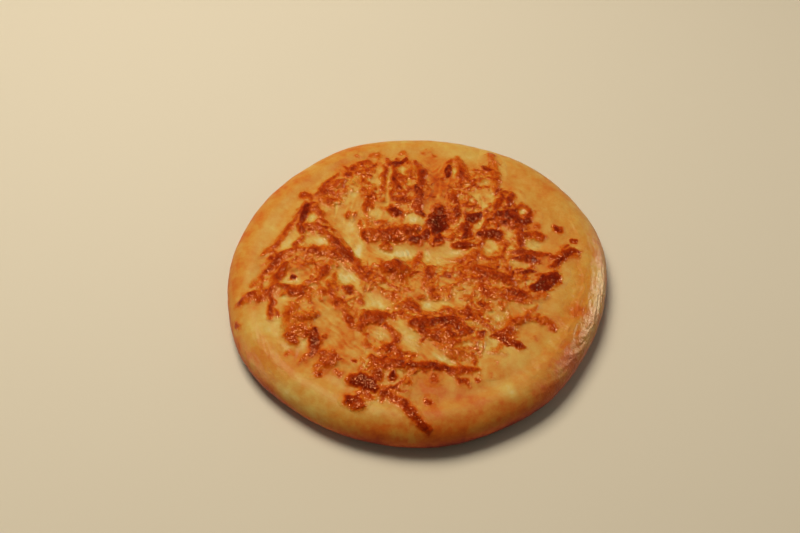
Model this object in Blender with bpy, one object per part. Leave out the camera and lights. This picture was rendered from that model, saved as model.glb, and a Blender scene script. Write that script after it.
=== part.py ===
"""Megrelian khachapuri: a round flatbread shut round its cheese, with grated cheese baked brown on top.

Metres, +Z up. The origin lies on the flat underside, below the middle of the bread, and -Y is the front.
The bread is a turned profile, drawn out to an uneven outline and pressed into folds and blisters. The
cheese on it is a thin melted layer with its shreds fused on, cut along its underside to the bread's top.
"""

import math
import random

import bmesh
import bpy
import numpy as np

MM = 0.001

# The bread's driving dimensions
MEAN_RADIUS = 133 * MM
TOP_HEIGHT = 26 * MM
WAIST_HEIGHT = 11 * MM
CREST_SHARE = 0.86
FOOT_SHARE = 0.90
DISH_DEPTH = 2.6 * MM
DISH_SHARE = 0.80
GROOVE_DEPTH = 1.2 * MM
GROOVE_SHARE = 0.82
GROOVE_WIDTH = 0.045
GROOVE_DEEPEST = math.radians(225)
GROOVE_SHALLOWEST = 0.35

# Waves round the outline: how many, how high in mm, and the direction of a crest in degrees
OUTLINE_WAVES = ((2, 3.9, 38), (3, 1.0, 28), (4, 1.2, 30), (7, 0.5, 12), (11, 0.3, 20))

# Folds, pools and blisters of the top, in mm: middle x and y, half length, half width, heading in degrees, rise
TOP_FEATURES = (
    (-14, 11, 22, 8, 4, -2.2),
    (9, 10, 13, 9, 0, -1.4),
    (12, 39, 11, 9, 60, -2.8),
    (50, 25, 9, 8, 60, -1.8),
    (-54, 26, 24, 8, 118, -2.0),
    (-29, -31, 10, 8, 120, -1.5),
    (10, -32, 10, 6, 10, -1.4),
    (-50, -15, 9, 6, 150, -1.2),
    (80, 28, 9, 5, 0, -1.0),
    (-20, -2, 10, 8, 0, 1.6),
    (-76, -56, 15, 12, 60, 1.5),
    (-62, 14, 20, 7, 132, 1.6),
    (-86, 40, 12, 8, 80, 1.4),
    (-6, 74, 24, 9, 95, 1.6),
    (62, 60, 18, 14, 30, 1.4),
    (60, -8, 26, 16, 20, 1.2),
    (12, -48, 24, 12, 10, 1.4),
    (-14, -88, 18, 14, 160, 1.2),
)

# The dough's uneven swell: a few crossing waves, drawn with a fixed seed
SWELL_SEED = 7
SWELL_COUNT = 10
SWELL_HEIGHT = 0.32 * MM
SWELL_LENGTHS = (26 * MM, 62 * MM)

# Melted cheese: how far it reaches from the middle, in mm, at each 30 degrees from +X, with a tongue in front
CHEESE_REACH = (86, 87, 97, 97, 100, 95, 103, 102, 97, 92, 82, 83)
TONGUE_DIRECTION = math.radians(252)
TONGUE_REACH = 15 * MM
TONGUE_HALF_ANGLE = math.radians(11)
RAGGED_WAVES = ((13, 1.8, 5), (19, 1.4, 11), (29, 0.9, 3))
CHEESE_THICKNESS = 2.2 * MM
GAP = 0.35 * MM

# Cheese shreds, in mm: x and y of one end, x and y of the other, width, and how far the middle bows to the left
SHREDS = {
    "back left": (
        (-92, 56, -85, 59, 10, 0), (-84, 60, -66, 81, 5.5, 1.5), (-72, 63, -60, 75, 8, 0),
        (-80, 60, -65, 53, 6, -1), (-60, 85, -50, 88, 7, 0), (-52, 94, -42, 94, 7, -1),
        (-53, 85, -38, 91, 6, 1), (-50, 79, -41, 73, 4.5, 0), (-49, 70, -41, 59, 7.5, 0),
        (-43, 59, -43, 46, 6, 0), (-39, 71, -32, 60, 5.5, 0),
    ),
    "left": (
        (-82, 51, -87, 33, 8, -2), (-89, 33, -72, 28, 7, 0), (-91, 41, -114, 0, 4.5, 2),
        (-73, 27, -52, 4, 6, -1), (-54, 6, -41, -11, 6, 0), (-83, 21, -93, 6, 4.5, 1),
        (-91, 7, -105, -5, 5, 0), (-105, -4, -108, -27, 5, 2), (-78, 9, -61, 4, 7, -1),
        (-47, 39, -36, 18, 4.5, -1), (-56, 44, -47, 41, 8, 0),
    ),
    "left front": (
        (-99, -11, -91, -16, 7, 0), (-102, -20, -89, -29, 7, 0), (-87, -24, -85, -36, 9, 0),
        (-79, -19, -75, -31, 8, 0), (-100, -30, -97, -52, 5, -1), (-97, -29, -120, -42, 7, 1),
        (-86, -44, -85, -64, 7.5, 1), (-80, -46, -68, -48, 9, 0), (-85, -62, -79, -71, 6.5, -1),
        (-69, -59, -65, -78, 7.5, -1), (-64, -81, -62, -93, 6.5, 0), (-63, -83, -51, -81, 7, -1),
        (-64, -4, -70, -18, 5.5, 0), (-60, -20, -56, -32, 6.5, 0), (-58, -33, -43, -50, 7, -1),
        (-51, -22, -46, -31, 7.5, 0), (-44, -50, -30, -53, 6, -1),
    ),
    "back": (
        (-30, 100, -34, 80, 5, 2), (-28, 96, -16, 101, 6.5, -1), (-26, 95, -21, 76, 5.5, -1),
        (-9, 102, -3, 84, 6.5, 1), (-3, 84, -6, 57, 7.5, 1), (-13, 72, -10, 58, 6, 0),
        (-34, 80, -31, 67, 6, 0), (-23, 65, -12, 61, 6, 0), (-7, 57, 3, 45, 4.5, 0),
        (-27, 51, -16, 49, 6.5, -1), (15, 101, 15, 86, 5.5, 1), (16, 106, 25, 107, 6, 1),
        (24, 106, 28, 89, 5.5, 1), (21, 76, 23, 62, 7.5, 0), (22, 58, 25, 51, 5.5, 0),
    ),
    "back right": (
        (40, 102, 50, 98, 5.5, 0), (46, 113, 53, 97, 5.5, 2), (53, 97, 52, 77, 5.5, 0),
        (36, 89, 50, 88, 5, 0), (36, 79, 50, 74, 7, 0), (34, 60, 39, 48, 7.5, 0),
        (30, 43, 35, 33, 7.5, 0), (38, 35, 57, 34, 6.5, 1), (47, 70, 49, 53, 6.5, 0),
        (53, 76, 58, 66, 5.5, 0), (66, 77, 59, 66, 5.5, 0), (59, 67, 61, 55, 6, 0),
        (63, 63, 77, 66, 5, -1), (78, 66, 76, 49, 5, 2), (61, 54, 76, 54, 7.5, 1),
        (44, 47, 56, 44, 7, 0),
    ),
    "middle": (
        (4, 46, 20, 44, 9, 1), (8, 42, 11, 30, 10, 0), (0, 43, 2, 28, 6, -1), (2, 27, -9, 23, 6.5, 1),
        (-22, 29, -3, 36, 9, 1), (-36, 27, -22, 29, 6, 1), (-30, 16, -22, 16, 9, 0),
        (16, 21, 34, 23, 8, -1), (37, 29, 43, 14, 6, 1), (57, 32, 56, 15, 5.5, 2),
        (-28, 3, -13, 3, 8, 2), (-28, -5, -12, -7, 9, 0), (-12, -4, -3, -6, 5.5, 0),
        (7, 2, 9, -9, 6.5, 0), (9, -11, 10, -22, 6.5, 0), (9, -22, 25, -27, 5.5, -2.5),
    ),
    "right": (
        (63, 16, 86, 17, 6.5, -1), (73, 23, 96, 22, 5, 1), (94, 13, 113, 27, 6.5, 2),
        (71, 40, 70, 25, 5, 0), (73, 38, 88, 37, 6.5, 1), (80, -10, 98, 6, 9, 0),
        (67, -18, 80, -11, 6, 0), (68, -40, 82, -25, 5.5, -1), (74, -34, 93, -36, 5.5, 1),
        (61, -42, 68, -49, 7.5, 0), (57, -54, 74, -56, 8, 0), (50, 4, 66, -2, 7, 0),
        (45, -12, 66, -13, 7, 0),
    ),
    "front": (
        (-5, -31, 4, -36, 7.5, 0), (-3, -49, 14, -44, 7, 0), (12, -43, 29, -44, 7.5, 1.5),
        (12, -38, 28, -39, 6, 4), (30, -38, 39, -33, 6.5, 0), (33, -52, 40, -48, 5.5, 0),
        (44, -51, 49, -47, 5.5, 0), (20, -54, 30, -55, 6, 0), (36, -64, 48, -66, 6, 0),
        (-29, -51, -21, -41, 9, 0), (-19, -51, -8, -65, 6.5, 0), (-26, -69, -11, -66, 6, -1.5),
        (-27, -77, -22, -91, 10, 0), (-39, -93, -20, -98, 12.5, 0), (-38, -109, -21, -108, 9.5, -2),
        (-20, -103, -6, -107, 6.5, -1), (-6, -107, 7, -117, 6.5, 0.5), (5, -115, 20, -126, 6, -1),
        (-4, -91, -10, -98, 6, 0), (-20, -78, -8, -80, 7, 0), (-3, -83, 24, -79, 5.5, 1),
        (21, -81, 42, -79, 5.5, -1),
    ),
}

# The list was read off level with the dish; the shreds lie higher than that, and so this much nearer the front
SHRED_OFFSET = -2.3 * MM

SHRED_RISE = 0.62
SHRED_BLUNTNESS = 3
SHRED_LONG = 20 * MM
SHRED_LIFT = 1.8 * MM
STRAY_LIFT = 0.2 * MM

# Loose bits of shred that landed on the bare dough, in the same form as the shreds
STRAY_BITS = (
    (-43, 103, -37, 104, 8.5, 0), (94, 47, 100, 46, 7.5, 0), (107, 36, 111, 36, 6, 0),
    (31, -88, 38, -88, 6.5, 0), (42, -87, 47, -86, 5, 0), (10, -104, 15, -105, 4.5, 0),
    (-120, -58, -120, -62, 4.5, 0),
)

# Facets
BREAD_SECTORS = 64
TOP_RINGS = 10
SHOULDER_RINGS = 4
FLANK_RINGS = 3
CHEESE_SECTORS = 48
CHEESE_RINGS = 5
SHRED_SIDES = 6
SHRED_RINGS = 4
LONG_SHRED_RINGS = 5
WELD_DISTANCE = 0.01 * MM
POINT = 0.01

BREAD_COLOUR = (0.60, 0.27, 0.055, 1)
CHEESE_COLOUR = (0.42, 0.11, 0.018, 1)
ROUGHNESS = 0.45


def swell_waves():
    """The crossing waves of the swell: direction, wave number and phase of each."""
    draw = random.Random(SWELL_SEED)
    waves = []
    for _ in range(SWELL_COUNT):
        direction = draw.uniform(0, math.pi)
        length = draw.uniform(*SWELL_LENGTHS)
        phase = draw.uniform(0, 2 * math.pi)
        waves.append((direction, 2 * math.pi / length, phase))
    return waves


SWELL = swell_waves()


def outline_radius(angle):
    """Radius of the bread's widest line in one direction."""
    radius = MEAN_RADIUS
    for count, height, crest in OUTLINE_WAVES:
        radius = radius + height * MM * np.cos(count * (angle - math.radians(crest)))
    return radius


def oval(x, y, feature):
    """How much of a top feature is felt at a point, from 1 at its middle to 0 far away."""
    middle_x, middle_y, half_length, half_width, heading, _ = feature
    turn = math.radians(heading)
    dx = x - middle_x * MM
    dy = y - middle_y * MM
    along = (dx * math.cos(turn) + dy * math.sin(turn)) / (half_length * MM)
    across = (dy * math.cos(turn) - dx * math.sin(turn)) / (half_width * MM)
    return np.exp(-(along**2 + across**2))


def relief(x, y):
    """Rise of the bread's top above its nominal height: dish, rim groove, folds, blisters and swell."""
    angle = np.arctan2(y, x)
    share = np.hypot(x, y) / outline_radius(angle)
    inward = np.minimum(share / DISH_SHARE, 1)
    rise = -DISH_DEPTH * (1 + np.cos(math.pi * inward)) / 2
    facing = (1 + np.cos(angle - GROOVE_DEEPEST)) / 2
    depth = GROOVE_DEPTH * (GROOVE_SHALLOWEST + (1 - GROOVE_SHALLOWEST) * facing)
    rise = rise - depth * np.exp(-(((share - GROOVE_SHARE) / GROOVE_WIDTH) ** 2))
    for feature in TOP_FEATURES:
        rise = rise + feature[-1] * MM * oval(x, y, feature)
    for direction, number, phase in SWELL:
        distance = x * math.cos(direction) + y * math.sin(direction)
        rise = rise + SWELL_HEIGHT * np.cos(number * distance + phase)
    return rise


def lifted(x, y, nominal):
    """Height of a point of the bread whose height on the plain turned shape is nominal."""
    upper = np.clip((nominal - WAIST_HEIGHT) / (TOP_HEIGHT - WAIST_HEIGHT), 0, 1)
    return nominal + upper * relief(x, y)


def surface_height(x, y):
    """Height of the bread's upper surface, from its middle out to its widest line."""
    share = np.hypot(x, y) / outline_radius(np.arctan2(y, x))
    past = np.clip((share - CREST_SHARE) / (1 - CREST_SHARE), 0, 1)
    nominal = WAIST_HEIGHT + (TOP_HEIGHT - WAIST_HEIGHT) * np.sqrt(1 - past**2)
    return lifted(x, y, nominal)


def cheese_radius(angle):
    """Radius of the melted cheese's ragged edge in one direction."""
    step = 2 * math.pi / len(CHEESE_REACH)
    place = (angle / step) % len(CHEESE_REACH)
    before = int(place)
    share = (1 - math.cos(math.pi * (place - before))) / 2
    after = (before + 1) % len(CHEESE_REACH)
    radius = (CHEESE_REACH[before] * (1 - share) + CHEESE_REACH[after] * share) * MM
    off = (angle - TONGUE_DIRECTION + math.pi) % (2 * math.pi) - math.pi
    radius += TONGUE_REACH * math.exp(-((off / TONGUE_HALF_ANGLE) ** 2))
    for count, height, crest in RAGGED_WAVES:
        radius += height * MM * math.cos(count * (angle - math.radians(crest)))
    return radius


def turned(profile, sectors):
    """A closed bmesh turned about Z from a profile that starts and ends on the axis."""
    mesh = bmesh.new()
    points = [mesh.verts.new((radius, 0, height)) for radius, height in profile]
    edges = [mesh.edges.new(pair) for pair in zip(points, points[1:])]
    bmesh.ops.spin(
        mesh, geom=points + edges, axis=(0, 0, 1), cent=(0, 0, 0), angle=2 * math.pi, steps=sectors
    )
    bmesh.ops.remove_doubles(mesh, verts=mesh.verts, dist=WELD_DISTANCE)
    bmesh.ops.recalc_face_normals(mesh, faces=mesh.faces)
    return mesh


def made_object(name, mesh, collection, colour):
    """Puts a bmesh in an object of its own, as triangles with a plain material."""
    bmesh.ops.triangulate(mesh, faces=mesh.faces)
    data = bpy.data.meshes.new(name)
    mesh.to_mesh(data)
    mesh.free()
    made = bpy.data.objects.new(name, data)
    collection.objects.link(made)
    material = bpy.data.materials.new(name)
    material.use_nodes = True
    shader = material.node_tree.nodes["Principled BSDF"]
    shader.inputs["Base Color"].default_value = colour
    shader.inputs["Roughness"].default_value = ROUGHNESS
    shader.inputs["Metallic"].default_value = 0
    data.materials.append(material)
    return made


def bread_profile():
    """Half section of the plain turned loaf, from the middle of its top round to the middle of its foot."""
    crest = CREST_SHARE * MEAN_RADIUS
    foot = FOOT_SHARE * MEAN_RADIUS
    profile = [(crest * ring / TOP_RINGS, TOP_HEIGHT) for ring in range(TOP_RINGS + 1)]
    for ring in range(1, SHOULDER_RINGS + 1):
        turn = math.pi / 2 * ring / SHOULDER_RINGS
        profile.append((
            crest + (MEAN_RADIUS - crest) * math.sin(turn),
            WAIST_HEIGHT + (TOP_HEIGHT - WAIST_HEIGHT) * math.cos(turn),
        ))
    for ring in range(1, FLANK_RINGS + 1):
        turn = math.pi / 2 * ring / FLANK_RINGS
        profile.append((
            foot + (MEAN_RADIUS - foot) * math.cos(turn),
            WAIST_HEIGHT * (1 - math.sin(turn)),
        ))
    profile.append((0, 0))
    return profile


def bread_mesh():
    """The loaf: the turned shape drawn out to the uneven outline, with its top pressed into relief."""
    mesh = turned(bread_profile(), BREAD_SECTORS)
    for vertex in mesh.verts:
        stretch = outline_radius(math.atan2(vertex.co.y, vertex.co.x)) / MEAN_RADIUS
        x = vertex.co.x * stretch
        y = vertex.co.y * stretch
        vertex.co = (x, y, lifted(x, y, vertex.co.z))
    return mesh


def cheese_sheet_mesh():
    """The melted layer, from well inside the bread up to its thickness above it."""
    rings = [(ring / CHEESE_RINGS, CHEESE_THICKNESS) for ring in range(CHEESE_RINGS + 1)]
    below = [(share, -CHEESE_THICKNESS) for share, _ in reversed(rings)]
    mesh = turned(rings + below, CHEESE_SECTORS)
    for vertex in mesh.verts:
        radius = cheese_radius(math.atan2(vertex.co.y, vertex.co.x))
        x = vertex.co.x * radius
        y = vertex.co.y * radius
        vertex.co = (x, y, surface_height(x, y) + vertex.co.z)
    return mesh


def shred_mesh(shred, lift):
    """One shred: a sphere drawn out to a blunt spindle, bowed to one side and laid along the bread's top."""
    start_x, start_y, end_x, end_y, width, bow = (value * MM for value in shred)
    span = math.hypot(end_x - start_x, end_y - start_y)
    along = ((end_x - start_x) / span, (end_y - start_y) / span)
    half_length = (span + width) / 2
    rings = LONG_SHRED_RINGS if 2 * half_length > SHRED_LONG else SHRED_RINGS
    mesh = bmesh.new()
    bmesh.ops.create_uvsphere(mesh, u_segments=SHRED_SIDES, v_segments=rings, radius=1)
    for vertex in mesh.verts:
        across, up, forward = vertex.co
        girth = math.hypot(across, up)
        blunt = 0
        if girth > POINT:
            blunt = math.sqrt(1 - abs(forward) ** SHRED_BLUNTNESS) / girth
        ahead = forward * half_length
        aside = across * blunt * width / 2 + bow * (1 - forward**2)
        x = (start_x + end_x) / 2 + along[0] * ahead - along[1] * aside
        y = (start_y + end_y) / 2 + along[1] * ahead + along[0] * aside + SHRED_OFFSET
        vertex.co = (x, y, surface_height(x, y) + lift + up * blunt * width / 2 * SHRED_RISE)
    return mesh


def modified(target, settings, others):
    """Applies one Boolean to the target and removes the objects that it used."""
    modifier = target.modifiers.new("cut", "BOOLEAN")
    for key, value in settings.items():
        setattr(modifier, key, value)
    graph = bpy.context.evaluated_depsgraph_get()
    result = bpy.data.meshes.new_from_object(target.evaluated_get(graph))
    target.modifiers.clear()
    target.data = result
    for other in others:
        bpy.data.objects.remove(other)


def fused(target, shreds, lift, label, scene):
    """Fuses shreds onto the target with one union on their collection."""
    pieces = bpy.data.collections.new(label)
    scene.collection.children.link(pieces)
    made = [
        made_object(f"{label}_{number}", shred_mesh(shred, lift), pieces, CHEESE_COLOUR)
        for number, shred in enumerate(shreds)
    ]
    settings = {"operation": "UNION", "operand_type": "COLLECTION", "collection": pieces, "solver": "MANIFOLD"}
    modified(target, settings, made)
    bpy.data.collections.remove(pieces)


def cut_to(target, bread):
    """Cuts the target away where the bread is, and the gap round it."""
    cutter = bread.copy()
    cutter.data = bread.data.copy()
    bpy.context.scene.collection.objects.link(cutter)
    for vertex in cutter.data.vertices:
        vertex.co = vertex.co + vertex.normal * GAP
    modified(target, {"operation": "DIFFERENCE", "object": cutter, "solver": "MANIFOLD"}, [cutter])


def main():
    for old in list(bpy.data.objects):
        bpy.data.objects.remove(old)
    scene = bpy.context.scene
    khachapuri = bpy.data.collections.new("megrelian_khachapuri")
    scene.collection.children.link(khachapuri)

    bread = made_object("bread", bread_mesh(), khachapuri, BREAD_COLOUR)
    cheese = made_object("cheese_topping", cheese_sheet_mesh(), khachapuri, CHEESE_COLOUR)
    shreds = [shred for area in SHREDS.values() for shred in area]
    fused(cheese, shreds, SHRED_LIFT, "shreds", scene)
    fused(bread, STRAY_BITS, STRAY_LIFT, "stray_bits", scene)
    cut_to(cheese, bread)


main()
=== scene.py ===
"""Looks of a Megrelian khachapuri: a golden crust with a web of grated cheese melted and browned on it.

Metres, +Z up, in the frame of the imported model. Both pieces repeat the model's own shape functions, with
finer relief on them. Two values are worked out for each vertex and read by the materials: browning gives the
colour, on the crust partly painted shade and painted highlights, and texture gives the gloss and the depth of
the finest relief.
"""

import itertools
import math

import bmesh
import bpy
import numpy as np
from mathutils import Euler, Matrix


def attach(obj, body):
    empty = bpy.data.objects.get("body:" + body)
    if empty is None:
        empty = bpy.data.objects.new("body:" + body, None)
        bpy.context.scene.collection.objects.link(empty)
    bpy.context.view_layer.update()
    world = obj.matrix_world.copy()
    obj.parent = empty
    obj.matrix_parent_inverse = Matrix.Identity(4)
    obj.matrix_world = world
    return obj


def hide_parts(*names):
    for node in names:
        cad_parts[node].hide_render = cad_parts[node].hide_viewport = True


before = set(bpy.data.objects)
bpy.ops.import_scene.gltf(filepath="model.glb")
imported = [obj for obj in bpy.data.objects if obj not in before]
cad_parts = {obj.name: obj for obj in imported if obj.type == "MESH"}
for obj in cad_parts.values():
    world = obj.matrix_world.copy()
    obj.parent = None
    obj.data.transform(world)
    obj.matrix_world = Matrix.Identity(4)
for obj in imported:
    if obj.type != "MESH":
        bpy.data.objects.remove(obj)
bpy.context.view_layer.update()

MM = 0.001

# Camera: place, turn in degrees, focal length and width of its sensor in mm
EYE = (-0.0009, -0.4682, 0.6479)
EYE_TURN = (36.843, -2.193, 4.469)
LENS = 50
SENSOR = 36

# Level on which the places on the cheese were read off, and how far above the bread or their bed they lie
READ_LEVEL = 24 * MM
OVAL_LIFT = 1.5 * MM
PATH_LIFT = 1 * MM

# The bread's driving dimensions, as in the model
MEAN_RADIUS = 133 * MM
TOP_HEIGHT = 26 * MM
WAIST_HEIGHT = 11 * MM
CREST_SHARE = 0.86
FOOT_SHARE = 0.90
DISH_DEPTH = 2.6 * MM
DISH_SHARE = 0.80
GROOVE_DEPTH = 1.2 * MM
GROOVE_SHARE = 0.82
GROOVE_WIDTH = 0.045
GROOVE_DEEPEST = math.radians(225)
GROOVE_SHALLOWEST = 0.35

# Waves round the outline: how many, how high in mm, and the direction of a crest in degrees
OUTLINE_WAVES = ((2, 3.9, 38), (3, 1.0, 28), (4, 1.2, 30), (7, 0.5, 12), (11, 0.3, 20))

# Folds, pools and blisters of the top, in mm: x, y, half length and width, heading in degrees, rise
TOP_FEATURES = (
    (-14, 11, 22, 8, 4, -2.2),
    (9, 10, 13, 9, 0, -1.4),
    (12, 39, 11, 9, 60, -2.8),
    (50, 25, 9, 8, 60, -1.8),
    (-54, 26, 24, 8, 118, -2.0),
    (-29, -31, 10, 8, 120, -1.5),
    (10, -32, 10, 6, 10, -1.4),
    (-50, -15, 9, 6, 150, -1.2),
    (80, 28, 9, 5, 0, -1.0),
    (-20, -2, 10, 8, 0, 1.6),
    (-76, -56, 15, 12, 60, 1.5),
    (-62, 14, 20, 7, 132, 1.6),
    (-86, 40, 12, 8, 80, 1.4),
    (-6, 74, 24, 9, 95, 1.6),
    (62, 60, 18, 14, 30, 1.4),
    (60, -8, 26, 16, 20, 1.2),
    (12, -48, 24, 12, 10, 1.4),
    (-14, -88, 18, 14, 160, 1.2),
)

# Melted cheese: how far it reaches from the middle, in mm, at each 30 degrees from +X
CHEESE_REACH = (86, 87, 97, 97, 100, 95, 103, 102, 97, 92, 82, 83)

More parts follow.
